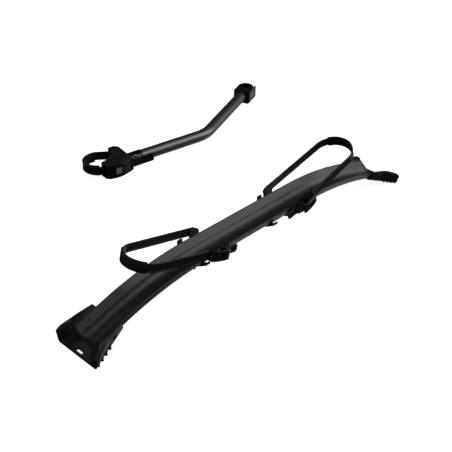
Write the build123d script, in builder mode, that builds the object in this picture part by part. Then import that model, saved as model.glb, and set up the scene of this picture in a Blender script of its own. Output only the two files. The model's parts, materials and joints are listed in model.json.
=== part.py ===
from build123d import *
import os
from math import cos, radians, sin, tan

# Wheel tray with two ratchet wheel straps, and the frame-holder arm that goes with it.
# Row frame: millimetres, +Z up, z = 0 on the floor that both stand on, X along the tray,
# -Y towards the buckles. The origin is the middle of the footprint of the whole set.

# ---------------------------------------------------------------- driving dimensions
tray_length = 1200.0        # over both end caps
tray_width = 98.0           # over the rims
tray_wall = 2.0
rim_height = 122.5          # rim of the level middle above the floor
bend_radius = 940.0         # of the rim where the tray arches down
bend_angle = 17.5           # slope of the straight ends
bend_corner = 344.7         # from the middle to where the level and sloping rim lines meet
flange_height = 22.0
flange_foot = 43.4          # half-width over the flanges' lower edges
crease_half = 26.5          # half-width of the trough
crease_depth = 20.0
trough_depth = 36.0
rim_fold = 2.6              # radius of the fold along the rims
metal_half = 567.0          # the metal ends here, inside the caps

fit_gap = 0.2               # between pieces that are fixed together
move_gap = 0.4              # between pieces that move past each other

strap_width = 25.0
strap_thick = 3.0
strap_lean = 15.0           # rise of the strap loops above level, at rest
strap_reach = 283.0         # pivot to the far end of a loop
loop_half = 58.0            # radius of a loop's round end
pivot_half = 62.0           # strap centre line at the pivots
strap_pivot_x = 146.0       # pivots either side of the straps' own middle
straps_middle = -10.0       # that middle, along the tray
pivot_height = 118.0

arm_start = (109.0, 595.0)  # start of the arm's bare tube, from the tray's middle
arm_turn = -10.0            # heading of the tube's first run
arm_bend = 31.4             # turn of the second run
first_run = 269.0
second_run = 356.0          # bend to the clamp's centre
tube_radius = 19.0
tube_wall = 1.8
tube_height = 24.5
arm_bend_radius = 110.0
head_height = 48.5
clamp_radius = 28.0
clamp_height = 47.0
clamp_back = 45.0           # from the bore's centre to the face the tube enters
bore_radius = 20.0

# ---------------------------------------------------------------- frames
arm_heading = (cos(radians(arm_turn)), sin(radians(arm_turn)))
run_heading = (cos(radians(arm_turn + arm_bend)), sin(radians(arm_turn + arm_bend)))
bend_point = (arm_start[0] + first_run * arm_heading[0], arm_start[1] + first_run * arm_heading[1])
clamp_centre = (bend_point[0] + second_run * run_heading[0], bend_point[1] + second_run * run_heading[1])
cap_half = 82.0             # half-width of the caps' flared ends
tray_x = -(clamp_centre[0] + clamp_radius - tray_length / 2) / 2
tray_y = -(clamp_centre[1] + clamp_radius - cap_half) / 2


def spot(x, y, z):
    """A point given from the tray's middle, at height z."""
    return Vector(tray_x + x, tray_y + y, z)


def level(z, x=0.0, y=0.0):
    """A horizontal plane seen from above, x along the tray."""
    return Plane(origin=spot(x, y, z), x_dir=(1, 0, 0), z_dir=(0, 0, 1))


def cross(x):
    """An upright plane across the tray: its x runs along +Y and its y up."""
    return Plane(origin=spot(x, 0, 0), x_dir=(0, 1, 0), z_dir=(1, 0, 0))


def side(y):
    """An upright plane along the tray: its x runs along the tray and its y up."""
    return Plane(origin=spot(0, y, 0), x_dir=(1, 0, 0), z_dir=(0, -1, 0))


def arm_level(z):
    """A horizontal plane whose x runs along the arm's first run, from the start of its tube."""
    return Plane(origin=spot(*arm_start, z), x_dir=(*arm_heading, 0), z_dir=(0, 0, 1))


def clamp_level(z):
    """A horizontal plane whose x runs on along the arm's second run, from the clamp's centre."""
    return Plane(origin=spot(*clamp_centre, z), x_dir=(*run_heading, 0), z_dir=(0, 0, 1))


def rim_z(x):
    """Height of the rim's sloping end line at x."""
    return rim_height - (abs(x) - bend_corner) * tan(radians(bend_angle))


os.makedirs("parts", exist_ok=True)


def write(piece, name):
    """Label a finished sub-part and write it as its own STEP file."""
    piece.part.label = name
    export_step(piece.part, f"parts/{name}.step")


def write_mirrored(piece, name, about):
    """Write the mirror image of a sub-part under its own name."""
    with BuildPart() as image:
        mirror(piece.part, about=about)
    write(image, name)


def disc(plane, outer, inner=0.0):
    """A disc, or a ring, on a plane."""
    with BuildSketch(plane) as face:
        Circle(outer)
        if inner:
            Circle(inner, mode=Mode.SUBTRACT)
    return face.sketch


def patch(plane, *points):
    """A straight-sided face on a plane."""
    with BuildSketch(plane) as face:
        Polygon(*points, align=None)
    return face.sketch


def bore(plane, radius, length):
    """Drill a hole from a plane along its normal."""
    extrude(disc(plane, radius), amount=length, mode=Mode.SUBTRACT)


tray_middle = Plane(origin=spot(0, 0, 0), x_dir=(0, 1, 0), z_dir=(1, 0, 0))
strap_middle = Plane(origin=spot(straps_middle, 0, 0), x_dir=(0, 1, 0), z_dir=(1, 0, 0))

# ---------------------------------------------------------------- tray profile
end_drop = (metal_half - bend_corner) * tan(radians(bend_angle))
slope = (cos(radians(bend_angle)), sin(radians(bend_angle)))


def tray_section(plane, grow=0.0):
    """The bent sheet's section about the rim line: flanges, shelves, creases and round trough."""
    half = tray_width / 2
    with BuildSketch(plane) as section:
        with BuildLine():
            FilletPolyline((-flange_foot, -flange_height), (-half, 0), (-crease_half, -crease_depth),
                           radius=rim_fold)
            ThreePointArc((-crease_half, -crease_depth), (0, -trough_depth), (crease_half, -crease_depth))
            FilletPolyline((crease_half, -crease_depth), (half, 0), (flange_foot, -flange_height),
                           radius=rim_fold)
            offset(amount=tray_wall, side=Side.RIGHT)
        make_face()
        if grow:
            offset(amount=grow)
    return section.sketch


def above_tray(plane, height=60.0):
    """The room over the sheet's upper side, between the rims."""
    half = tray_width / 2
    with BuildSketch(plane) as room:
        with BuildLine():
            Polyline((-crease_half, -crease_depth), (-half, 0), (-half, height), (half, height), (half, 0),
                     (crease_half, -crease_depth))
            ThreePointArc((crease_half, -crease_depth), (0, -trough_depth), (-crease_half, -crease_depth))
        make_face()
    return room.sketch


bracket_x = (-208.0, 76.0)   # the two carrier brackets under the tray
stud_radius = 4.0
pivot_x = straps_middle + strap_pivot_x
saddle_screw_gap = 9.0       # of each saddle's two screws, from its middle
saddle_screw_x = [straps_middle + s * strap_pivot_x + e
                  for s in (-1, 1) for e in (-saddle_screw_gap, saddle_screw_gap)]
saddle_screw_radius = 2.0
cap_screw_x = 530.0
cap_screw_z = 50.0
cap_screw_radius = 2.2


def across(x, y, z, s=1):
    """An upright plane along the tray whose normal points to +Y, or to -Y with s = -1."""
    return Plane(origin=spot(x, y, z), x_dir=(1, 0, 0), z_dir=(0, s, 0))


with BuildPart() as tray_profile:
    with BuildLine(side(0)) as rim_line:
        FilletPolyline((-metal_half, rim_height - end_drop), (-bend_corner, rim_height),
                       (bend_corner, rim_height), (metal_half, rim_height - end_drop), radius=bend_radius)
    start = Plane(origin=spot(-metal_half, 0, rim_height - end_drop),
                  x_dir=(0, 1, 0), z_dir=(slope[0], 0, slope[1]))
    sweep(sections=tray_section(start), path=rim_line.wires()[0])
    for x in saddle_screw_x:
        bore(level(80, x), saddle_screw_radius + 0.05, 20)
    for x in (-cap_screw_x, cap_screw_x):
        bore(across(x, -60, cap_screw_z), cap_screw_radius + fit_gap, 120)
write(tray_profile, "tray_profile")

# ---------------------------------------------------------------- end caps
# Sections of the cap's outer hull: x, half-width and height of the top edge, then of the foot.
cap_hull = (
    (480.0, 51.0, rim_z(480) + 1.5, 46.0, 51.6),
    (545.0, 63.5, rim_z(545) + 6.0, 60.5, 24.0),
    (588.0, 79.0, 44.0, 71.5, 5.0),
    (600.0, cap_half, 33.0, 74.6, 0.0),
)
# Sections of the hollow: x, ledge, bowl edge, bowl corner, floor half-width and floor height.
cap_bowl = (
    (478.0, (49.0, rim_z(478) + 2.0), (48.0, rim_z(478)), (26.5, rim_z(478) - 20), 14.0, rim_z(478) - 34),
    (545.0, (61.0, rim_z(545) + 6.3), (49.5, rim_z(545)), (27.0, rim_z(545) - 19), 14.5, rim_z(545) - 33),
    (570.0, (70.0, 55.0), (53.5, rim_z(570)), (29.0, rim_z(570) - 18), 16.0, rim_z(570) - 32),
    (602.0, (80.0, 43.0), (72.0, 29.0), (63.0, 13.0), 50.0, 6.5),
)
cap_corner = 5.0
cap_screw_seat = 54.0        # half-width of the screws' seats
cap_edge = 2.5
slot_x = 591.3
slot_size = (8.0, 24.5)
rib_x = (546.0, 561.0, 576.0, 591.0)


def hull_outline(top_half, top_z, foot_half, foot_z):
    half = [(foot_half - cap_corner, foot_z), (foot_half, foot_z + cap_corner),
            (top_half, top_z - cap_edge), (top_half - cap_edge, top_z)]
    Polygon(*half, *[(-y, z) for y, z in reversed(half)], align=None)


def bowl_outline(ledge, edge, corner, floor_half, floor_z):
    half = [(floor_half, floor_z), corner, edge, ledge, (ledge[0], ledge[1] + 40)]
    Polygon(*half, *[(-y, z) for y, z in reversed(half)], align=None)


with BuildPart() as end_cap_right:
    for x, *sizes in cap_hull:
        with BuildSketch(cross(x)):
            hull_outline(*sizes)
    loft(ruled=True)
    for x in rib_x:
        t = (x - 480) / 120
        for s in (-1, 1):
            with Locations(spot(x, s * (46.5 + 27.5 * t), 58 - 50 * t)):
                Cylinder(3.0, 12)
    for x, *sizes in cap_bowl:
        with BuildSketch(cross(x)):
            bowl_outline(*sizes)
    loft(ruled=True, mode=Mode.SUBTRACT)
    # Slanted back edge, and the pocket that the metal profile sits in.
    with BuildSketch(side(-80)):
        Polygon((470, 100), (470, 20), (472, 20), (508, 82), (508, 100), align=None)
    extrude(amount=-160, mode=Mode.SUBTRACT)
    pocket = Plane(origin=spot(metal_half + 0.5, 0, rim_z(metal_half + 0.5)),
                   x_dir=(0, 1, 0), z_dir=(slope[0], 0, -slope[1]))
    extrude(tray_section(pocket, grow=fit_gap), amount=-110, mode=Mode.SUBTRACT)
    extrude(above_tray(pocket), amount=-110, mode=Mode.SUBTRACT)
    with BuildSketch(level(-5, slot_x)):
        RectangleRounded(*slot_size, 2.5)
    extrude(amount=30, mode=Mode.SUBTRACT)
    for s in (-1, 1):
        bore(across(cap_screw_x, s * 38, cap_screw_z, s), cap_screw_radius + fit_gap, 30)
        bore(across(cap_screw_x, s * cap_screw_seat, cap_screw_z, s), cap_screw_radius + 2.1, 20)
write(end_cap_right, "end_cap_right")
write_mirrored(end_cap_right, "end_cap_left", tray_middle)

with BuildPart() as cap_screws:
    for x in (-cap_screw_x, cap_screw_x):
        for s in (-1, 1):
            head_seat = cap_screw_seat + 0.1
            extrude(disc(across(x, s * 39, cap_screw_z, s), cap_screw_radius), amount=head_seat - 39)
            extrude(disc(across(x, s * head_seat, cap_screw_z, s), cap_screw_radius + 1.9), amount=1.8)
write(cap_screws, "cap_screws")

# ---------------------------------------------------------------- brackets and saddles under the tray
under_gap = 0.5              # clears the trough where it starts to arch
under_z = rim_height - trough_depth - tray_wall - under_gap
cradle_plate = 5.0
ear_inner = 51.0
ear_outer = 57.0

bracket_length = 30.0
stud_seat = under_z - 2.5
stud_head_radius = 7.0
stud_shoulder = 5.5          # radius of the part pressed into the bracket
stud_free_top = under_z - cradle_plate - 0.3
stud_end = 53.6
hook_length = 15.0
near_hook = (49.5, 52.5, 101.5)     # inner and outer half-width, and top
far_hook = (ear_inner, ear_outer, 121.0)


def carrier_bracket(x, stagger, name):
    """A carrier bracket: its near and far hooks stand apart along the tray by twice the stagger."""
    low = under_z - cradle_plate
    with BuildPart() as piece:
        with BuildSketch(level(low, x)):
            RectangleRounded(bracket_length + 2 * stagger, 48, 6)
        extrude(amount=cradle_plate)
        for s, (inner, outer, top) in ((-1, near_hook), (1, far_hook)):
            with BuildSketch(cross(x + s * stagger - hook_length / 2)):
                Polygon((s * 20, low), (s * 24, under_z), (s * inner, 97.0), (s * inner, top),
                        (s * outer, top), (s * outer, 94.5), (s * 27, low), align=None)
            extrude(amount=hook_length)
        fillet(piece.edges().filter_by(Axis.X).group_by(Axis.Z)[-1], 2.5)
        bore(level(low - 1, x), stud_shoulder + 0.05, 10)
        bore(level(stud_seat, x), stud_head_radius + 0.1, 10)
    write(piece, name)


for x, stagger, name in zip(bracket_x, (0.0, 24.0), ("carrier_bracket_left", "carrier_bracket_right")):
    carrier_bracket(x, stagger, name)

with BuildPart() as carrier_studs:
    for x in bracket_x:
        extrude(disc(level(stud_seat + 0.1, x), stud_head_radius), amount=2.2)
        extrude(disc(level(stud_free_top, x), stud_shoulder), amount=stud_seat + 0.1 - stud_free_top)
        extrude(disc(level(stud_end, x), stud_radius), amount=stud_free_top - stud_end)
    chamfer(carrier_studs.edges().filter_by(GeomType.CIRCLE).group_by(Axis.Z)[0], 0.8)
write(carrier_studs, "carrier_studs")

rivet_radius = 4.0
rivet_head = 7.0
saddle_length = 32.0
with BuildPart() as saddle:
    with BuildSketch(cross(pivot_x - saddle_length / 2)):
        half = [(24, under_z), (ear_inner, 97.6), (ear_inner, pivot_height + 11),
                (ear_outer, pivot_height + 11), (ear_outer, 94), (27, under_z - cradle_plate)]
        Polygon(*half, *[(-y, z) for y, z in reversed(half)], align=None)
    extrude(amount=saddle_length)
    fillet(saddle.edges().filter_by(Axis.Y).group_by(Axis.Z)[-1], 10.5)
    with Locations(Plane(origin=spot(pivot_x, 0, pivot_height), x_dir=(1, 0, 0), z_dir=(0, 1, 0))):
        Cylinder(rivet_radius + 0.02, 130, mode=Mode.SUBTRACT)
    for x in saddle_screw_x:
        bore(level(0, x), saddle_screw_radius + fit_gap, 120)
write(saddle, "strap_saddle_right")
write_mirrored(saddle, "strap_saddle_left", strap_middle)

with BuildPart() as saddle_screws:
    for x in saddle_screw_x:
        low = under_z - cradle_plate - 0.1
        extrude(disc(level(low, x), saddle_screw_radius + 1.8), amount=-2.4)
        extrude(disc(level(low, x), saddle_screw_radius), amount=rim_height - trough_depth - 0.3 - low)
        bore(level(low - 2.5, x), 1.2, 1.3)
write(saddle_screws, "saddle_screws")

# ---------------------------------------------------------------- wheel strap
lean = (cos(radians(strap_lean)), sin(radians(strap_lean)))


def strap_plane(w, s=0.0, y=0.0):
    """The strap's own plane at rest: x outwards along the loop, y across the tray, w off the plane."""
    origin = spot(pivot_x + s * lean[0] - w * lean[1], y, pivot_height + s * lean[1] + w * lean[0])
    return Plane(origin=origin, x_dir=(lean[0], 0, lean[1]), z_dir=(-lean[1], 0, lean[0]))


def strap_face(y, s=0.0):
    """An upright plane facing -Y: x runs outwards along the loop, y is across the strap."""
    return Plane(origin=spot(pivot_x + s * lean[0], y, pivot_height + s * lean[1]),
                 x_dir=(lean[0], 0, lean[1]), z_dir=(0, -1, 0))


tail_end = -46.0
straight_end = 66.0          # the run through the buckle is parallel to its base up to here
bend_start = strap_reach - loop_half

with BuildPart() as wheel_strap:
    with BuildSketch(strap_plane(-strap_width / 2)):
        with BuildLine():
            Polyline((tail_end, -pivot_half), (straight_end, -pivot_half), (bend_start, -loop_half))
            ThreePointArc((bend_start, -loop_half), (strap_reach, 0), (bend_start, loop_half))
            Line((bend_start, loop_half), (-strap_width / 2, pivot_half))
            offset(amount=strap_thick / 2, side=Side.BOTH)
        make_face()
    extrude(amount=strap_width)
    for y, s, radius in ((pivot_half, 0.0, strap_width / 2), (-pivot_half, tail_end + 9, 9.0)):
        with BuildSketch(strap_face(y + 6, s)):
            with Locations((-15, 0)):
                Rectangle(30, strap_width + 2)
            Circle(radius, mode=Mode.SUBTRACT)
            Rectangle(2 * radius, strap_width - 2 * radius, mode=Mode.SUBTRACT)
            with Locations((0, strap_width / 2 - radius), (0, radius - strap_width / 2)):
                Circle(radius, mode=Mode.SUBTRACT)
        extrude(amount=12, mode=Mode.SUBTRACT)
    with Locations(Plane(origin=spot(pivot_x, pivot_half, pivot_height), x_dir=(1, 0, 0), z_dir=(0, 1, 0))):
        Cylinder(rivet_radius + 0.06, 20, mode=Mode.SUBTRACT)
write(wheel_strap, "wheel_strap_right")
write_mirrored(wheel_strap, "wheel_strap_left", strap_middle)

pad_width = 31.0
pad_wall = 1.8
pad_sweep = 52.0
with BuildPart() as rim_pad:
    inner = strap_thick / 2 + 0.15
    with BuildSketch(strap_plane(-pad_width / 2, bend_start)):
        Circle(loop_half + inner + pad_wall)
        Circle(loop_half - inner - pad_wall, mode=Mode.SUBTRACT)
        far = 3 * loop_half
        sector = (far * cos(radians(pad_sweep)), far * sin(radians(pad_sweep)))
        Polygon((0, 0), sector, (far, 0), (sector[0], -sector[1]), align=None, mode=Mode.INTERSECT)
    extrude(amount=pad_width)
    with BuildSketch(strap_plane(-strap_width / 2 - 0.2, bend_start)):
        Circle(loop_half + inner)
        Circle(loop_half - inner, mode=Mode.SUBTRACT)
    extrude(amount=strap_width + 0.4, mode=Mode.SUBTRACT)
write(rim_pad, "rim_pad_right")
write_mirrored(rim_pad, "rim_pad_left", strap_middle)

# Rivets: one holds the strap's far eye, the other carries the buckle.
with BuildPart() as pivot_rivets:
    far_rivet = Plane(origin=spot(pivot_x, ear_inner, pivot_height), x_dir=(1, 0, 0), z_dir=(0, 1, 0))
    with BuildSketch(far_rivet):
        Circle(rivet_radius)
    extrude(amount=pivot_half + 2.3 - ear_inner)
    extrude(disc(far_rivet.offset(pivot_half + 2.3 - ear_inner), rivet_head), amount=2.4)
    collar = pivot_half - strap_thick / 2 - move_gap - ear_outer
    extrude(disc(far_rivet.offset(ear_outer - ear_inner), rivet_head), amount=collar)
    near_rivet = Plane(origin=spot(pivot_x, -ear_inner, pivot_height), x_dir=(1, 0, 0), z_dir=(0, -1, 0))
    with BuildSketch(near_rivet):
        Circle(rivet_radius)
    extrude(amount=9.0)
write(pivot_rivets, "pivot_rivets_right")
write_mirrored(pivot_rivets, "pivot_rivets_left", strap_middle)

# ---------------------------------------------------------------- ratchet buckle
base_back = -57.4            # y of the base plate's face against the ear
base_floor = 2.8
base_inner = 13.2            # half-width of the channel the strap runs in
base_outer = 15.6
base_inner_end = -14.0
base_outer_end = 59.4
wall_top = -72.0
lever_axis = (55.0, -69.0)   # outwards along the strap, and y
lever_pin_radius = 2.5
latch_pin_radius = 2.0
pawl_axis = (34.0, -73.5)    # drive pawl, on the lever
latch_axis = (8.0, -69.0)    # holding pawl, on the base

with BuildPart() as buckle_base:
    with BuildSketch(strap_plane(-base_outer)):
        Polygon((base_inner_end, base_back), (base_outer_end, base_back), (base_outer_end, -69.5),
                (57.8, -72.6), (52, wall_top - 1.5), (46, wall_top - 1.5), (22, -67.5),
                (14, wall_top), (2, wall_top), (-6, -66), (base_inner_end, -61), align=None)
    extrude(amount=2 * base_outer)
    with BuildSketch(strap_plane(-base_inner)):
        channel = base_back - base_floor
        Polygon((-30, channel), (80, channel), (80, -90), (-30, -90), align=None)
    extrude(amount=2 * base_inner, mode=Mode.SUBTRACT)
    bore(strap_plane(-20, *lever_axis), lever_pin_radius + 0.02, 40)
    bore(strap_plane(-20, *latch_axis), latch_pin_radius + 0.02, 40)
    with Locations(Plane(origin=spot(pivot_x, base_back, pivot_height), x_dir=(1, 0, 0), z_dir=(0, 1, 0))):
        Cylinder(rivet_radius + 0.05, 12, mode=Mode.SUBTRACT)
write(buckle_base, "buckle_base_right")
write_mirrored(buckle_base, "buckle_base_left", strap_middle)

with BuildPart() as lever_pin:
    extrude(disc(strap_plane(-16.4, *lever_axis), lever_pin_radius), amount=32.8)
write(lever_pin, "buckle_lever_pin_right")
write_mirrored(lever_pin, "buckle_lever_pin_left", strap_middle)

with BuildPart() as latch_pin:
    extrude(disc(strap_plane(-16.2, *latch_axis), latch_pin_radius), amount=32.4)
write(latch_pin, "hold_pawl_pin_right")
write_mirrored(latch_pin, "hold_pawl_pin_left", strap_middle)

lever_half = 15.0
lever_hub = 12.7
window = (21.0, 45.0, 8.0)   # from, to along the strap, and half-width
with BuildPart() as buckle_lever:
    with BuildSketch(strap_plane(-lever_half)):
        with BuildLine():
            Polyline((59.2, -74.3), (58, -77), (50, -79.5))
            Spline((50, -79.5), (25, -83.5), (4, -83), tangents=((-1, -0.25), (-1, 0.25)))
            Polyline((4, -83), (1.5, -80.5), (2.5, -77.5), (16, -77.8), (30, -77.2),
                     (47, -74.8), (59.2, -74.3))
        make_face()
    extrude(amount=2 * lever_half)
    fillet(buckle_lever.faces().sort_by(Axis.Y)[:1].edges().filter_by(GeomType.BSPLINE), 1.2)
    for w in (-lever_hub, lever_hub - 3):
        with BuildSketch(strap_plane(w)):
            with Locations(lever_axis):
                Circle(4.6)
            Polygon((lever_axis[0] - 4.6, lever_axis[1]), (lever_axis[0] + 4.6, lever_axis[1]),
                    (58, -76.4), (29, -79.5), (29.5, -70.8), (38, -70.5), align=None)
        extrude(amount=3)
    with BuildSketch(strap_plane(-20, *lever_axis)):
        Circle(lever_pin_radius + 0.06)
    extrude(amount=40, mode=Mode.SUBTRACT)
    with BuildSketch(strap_plane(-20, *pawl_axis)):
        Circle(1.6)
    extrude(amount=40, mode=Mode.SUBTRACT)
    with BuildSketch(strap_plane(-window[2])):
        Polygon((window[0], -90), (window[1], -90), (window[1], -70), (window[0], -70), align=None)
    extrude(amount=2 * window[2], mode=Mode.SUBTRACT)
write(buckle_lever, "buckle_lever_right")
write_mirrored(buckle_lever, "buckle_lever_left", strap_middle)

with BuildPart() as drive_pin:
    with BuildSketch(strap_plane(-lever_hub, *pawl_axis)):
        Circle(1.55)
    extrude(amount=2 * lever_hub)
write(drive_pin, "drive_pawl_pin_right")
write_mirrored(drive_pin, "drive_pawl_pin_left", strap_middle)

pawl_half = 6.5
with BuildPart() as drive_pawl:
    with BuildSketch(strap_plane(-pawl_half, *pawl_axis)):
        Circle(3.4)
        Polygon((3.4, 0), (2.6, 8.6), (0.4, 9.3), (-3.4, 0), align=None)
        Polygon((-3.0, -1), (-8.5, -3.6), (-8.5, -6), (1.5, -3.2), align=None)
    extrude(amount=2 * pawl_half)
    with BuildSketch(strap_plane(-2.2, *pawl_axis)):
        Rectangle(30, 30)
        Polygon((3.4, 3.7), (-3.4, 3.7), (-3.4, 12), (3.4, 12), align=None, mode=Mode.SUBTRACT)
        Polygon((-12, -3.7), (2, -3.7), (2, -12), (-12, -12), align=None, mode=Mode.SUBTRACT)
    extrude(amount=4.4, mode=Mode.SUBTRACT)
    with BuildSketch(strap_plane(-20, *pawl_axis)):
        Circle(1.65)
    extrude(amount=40, mode=Mode.SUBTRACT)
write(drive_pawl, "drive_pawl_right")
write_mirrored(drive_pawl, "drive_pawl_left", strap_middle)

with BuildPart() as drive_spring:
    with BuildSketch(strap_plane(-1.9, *pawl_axis)):
        Circle(3.0)
        Circle(1.8, mode=Mode.SUBTRACT)
    extrude(amount=3.8)
write(drive_spring, "drive_spring_right")
write_mirrored(drive_spring, "drive_spring_left", strap_middle)

latch_half = 12.6
with BuildPart() as hold_pawl:
    with BuildSketch(strap_plane(-latch_half, *latch_axis)):
        Circle(3.8)
        Polygon((3.8, 0), (4.4, 4.8), (2.4, 5.2), (-3.8, 0), align=None)
        Polygon((-2, 3.2), (-18.5, 1.6), (-19.5, -1.4), (-2, -3.4), align=None)
    extrude(amount=2 * latch_half)
    with BuildSketch(strap_plane(-2.4, *latch_axis)):
        with Locations((0, 0)):
            Rectangle(12, 12)
    extrude(amount=4.8, mode=Mode.SUBTRACT)
    with BuildSketch(strap_plane(-20, *latch_axis)):
        Circle(2.06)
    extrude(amount=40, mode=Mode.SUBTRACT)
write(hold_pawl, "hold_pawl_right")
write_mirrored(hold_pawl, "hold_pawl_left", strap_middle)

with BuildPart() as hold_spring:
    with BuildSketch(strap_plane(-2.0, *latch_axis)):
        Circle(3.6)
        Circle(2.2, mode=Mode.SUBTRACT)
    extrude(amount=4.0)
write(hold_spring, "hold_spring_right")
write_mirrored(hold_spring, "hold_spring_left", strap_middle)

# ---------------------------------------------------------------- arm tube
tube_in_head = 24.0          # length of tube inside the head's socket
tube_stop = 25.0             # from the clamp bore's centre to the tube's end
head_face = -36.0            # the head's face that the tube leaves
ferrule_end = 13.5


def arm_across(u):
    """An upright plane across the arm's first run, on the tube's axis."""
    start = arm_level(tube_height)
    return Plane(origin=start.from_local_coords(Vector(u, 0, 0)), x_dir=start.y_dir, z_dir=start.x_dir)


def clamp_across(t, n=0.0, z=tube_height):
    """An upright plane across the arm's second run."""
    start = clamp_level(z)
    return Plane(origin=start.from_local_coords(Vector(t, n, 0)), x_dir=start.y_dir, z_dir=start.x_dir)


def arm_post(u, v, z=0.0):
    """A horizontal plane in the arm's head, set on one of its upright pins."""
    start = arm_level(z)
    return Plane(origin=start.from_local_coords(Vector(u, v, 0)), x_dir=start.x_dir, z_dir=(0, 0, 1))


def clamp_post(t, n, z=0.0):
    """A horizontal plane in the clamp, set on one of its upright pins."""
    start = clamp_level(z)
    return Plane(origin=start.from_local_coords(Vector(t, n, 0)), x_dir=start.x_dir, z_dir=(0, 0, 1))


with BuildPart() as arm_tube:
    reach = second_run - tube_stop
    with BuildLine(arm_level(tube_height)) as centre_line:
        FilletPolyline((head_face - tube_in_head, 0), (first_run, 0),
                       (first_run + reach * cos(radians(arm_bend)), reach * sin(radians(arm_bend))),
                       radius=arm_bend_radius)
    tube_ring = disc(arm_across(head_face - tube_in_head), tube_radius, tube_radius - tube_wall)
    sweep(sections=tube_ring, path=centre_line.wires()[0])
write(arm_tube, "arm_tube")

with BuildPart() as neck_ferrule:
    collar = disc(arm_across(head_face + 0.3), tube_radius + 2, tube_radius + 0.1)
    extrude(collar, amount=ferrule_end - head_face - 0.3)
    for u in (head_face + 14, ferrule_end - 9):
        extrude(disc(arm_across(u), tube_radius + 4, tube_radius + 1.2), amount=2.5, mode=Mode.SUBTRACT)
write(neck_ferrule, "neck_ferrule")

# ---------------------------------------------------------------- strap loop of the arm's head
loop_centre = (-123.4, 33.3)
loop_radius = 49.0           # of the strap's middle
band_thick = 4.0
band_low = 9.5
band_width = 30.0
band_gap = 0.8
tail_v = -26.9               # the tail runs beside the tube
tail_u = 46.0
tail_start = -42.0
anchor = (-65.0, 56.0)       # pin that holds the band's fixed end
anchor_angle = 60.0
leave_angle = 262.6
anchor_pin_radius = 2.5


def on_loop(angle, radius=loop_radius):
    """A point of the loop, in the arm's plan."""
    return (loop_centre[0] + radius * cos(radians(angle)), loop_centre[1] + radius * sin(radians(angle)))


def band_plan(z, thick):
    """Plan of the band: from its pin round the loop, through the head and out along the tube."""
    with BuildSketch(arm_level(z)) as plan:
        with BuildLine():
            Line(anchor, on_loop(anchor_angle))
            middle_angle = (anchor_angle + leave_angle) / 2
            ThreePointArc(on_loop(anchor_angle), on_loop(middle_angle), on_loop(leave_angle))
            Polyline(on_loop(leave_angle), (tail_start, tail_v), (tail_u, tail_v))
            offset(amount=thick / 2, side=Side.BOTH)
        make_face()
    return plan.sketch


tooth_rise = 0.8
with BuildPart() as frame_strap:
    extrude(band_plan(band_low, band_thick), amount=band_width)
    extrude(disc(arm_post(*anchor, band_low), 5.0), amount=band_width)
    bore(arm_post(*anchor), anchor_pin_radius + 0.05, 60)
    outer = tail_v - band_thick / 2
    for u in range(-24, 40, 8):
        tooth = patch(arm_level(band_low + 3), (u, outer + 0.5), (u, outer - tooth_rise),
                      (u + 1.5, outer - tooth_rise),
                      (u + 4, outer + 0.5))
        extrude(tooth, amount=band_width - 6)
write(frame_strap, "frame_strap")

liner_outer = loop_radius - band_thick / 2 - 0.1
liner_inner = liner_outer - 2.4
with BuildPart() as strap_liner:
    with BuildSketch(arm_level(band_low - 2)):
        with Locations(loop_centre):
            Circle(liner_outer)
            Circle(liner_inner, mode=Mode.SUBTRACT)
        Polygon(loop_centre, on_loop(78, 90), on_loop(120, 130), on_loop(170, 130), on_loop(215, 130),
                on_loop(246, 90), align=None, mode=Mode.INTERSECT)
    extrude(amount=band_width + 4)
write(strap_liner, "strap_liner")

# ---------------------------------------------------------------- arm head
floor_top = 3.0
cover_z = 45.8
bite_centre = (-143.0, 69.0)
bite_radius = 73.0
pad_thick = 3.0
head_lever_axis = (-118.5, -29.0)
head_pin_radius = 3.0
head_hub = 9.5
head_pawl_axis = (-98.0, -34.5)
head_pawl_pin_radius = 2.0
head_corner = 2.5
screw_spots = [(-110, -7), (-68, -6), (-44, 28), (-48, 58)]
head_screw_radius = 1.9


def band_v(u, offset_v=0.0):
    """Across the arm, the band's middle where it runs straight through the head."""
    enter = on_loop(leave_angle)
    share = (u - enter[0]) / (tail_start - enter[0])
    return enter[1] + share * (tail_v - enter[1]) + offset_v


def head_plan(z, shrink=0.0):
    """Plan of the head: a fan with a concave bite towards the loop."""
    with BuildSketch(arm_level(z)) as plan:
        Polygon((-133, -2), (-131, -29), (-122, -38.6), (-98, -44), (-82, -44), (-68, -40.6), (-40, -32),
                (head_face, -28), (head_face, 55), (-48, 68), (-70, 67), (-78, 50), (-78, 20),
                (-118, 20), align=None)
        with Locations(bite_centre):
            Circle(bite_radius, mode=Mode.SUBTRACT)
        offset(amount=-head_corner)
        offset(amount=head_corner - shrink)
    return plan.sketch


with BuildPart() as head_base:
    extrude(head_plan(0), amount=cover_z)
    # The near side is left open above the floor, for the band and the lever.
    wall = band_thick / 2 + band_gap
    open_side = patch(arm_level(floor_top), (-150, band_v(-129.7, wall)), (-129.7, band_v(-129.7, wall)),
                      (tail_start, tail_v + wall), (0, tail_v + wall), (0, -70), (-150, -70))
    extrude(open_side, amount=60, mode=Mode.SUBTRACT)
    extrude(band_plan(floor_top, band_thick + 2 * band_gap), amount=60, mode=Mode.SUBTRACT)
    extrude(disc(arm_post(*anchor, floor_top), 6.0), amount=60, mode=Mode.SUBTRACT)
    bore(arm_across(head_face - tube_in_head - 0.5), tube_radius + 0.1, 60)
    for p in screw_spots:
        bore(arm_post(*p, -1), head_screw_radius + 0.02, 60)
    bore(arm_post(*anchor, 0.5), anchor_pin_radius + 0.02, 10)
    bore(arm_post(*head_lever_axis, 0.5), head_pin_radius + 0.02, 10)
write(head_base, "head_base")

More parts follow.
